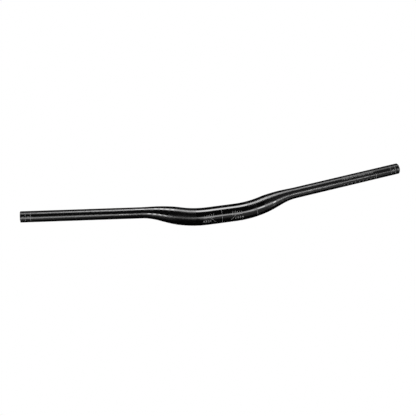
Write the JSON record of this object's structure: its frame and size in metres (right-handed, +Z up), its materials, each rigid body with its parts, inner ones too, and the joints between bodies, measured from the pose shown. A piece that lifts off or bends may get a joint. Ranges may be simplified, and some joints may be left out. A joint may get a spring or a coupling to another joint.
{
  "type": "riser handlebar",
  "caption": "Bicycle riser handlebar in satin black aluminium: a butted tube with a thick clamp zone that bends up, tapers and sweeps back to open ends for grips.",
  "frame": {"origin": "middle of the clamp zone, on the tube's axis", "axes": "+X along the bar towards the rider's left, +Y back towards the rider, +Z up"},
  "size_m": [0.7834, 0.0669, 0.0719],
  "materials": {
    "black_finish": "black coat, satin with gloss zones"
  },
  "bodies": {
    "root": {"handlebar": "black_finish"}
  },
  "joints": []
}
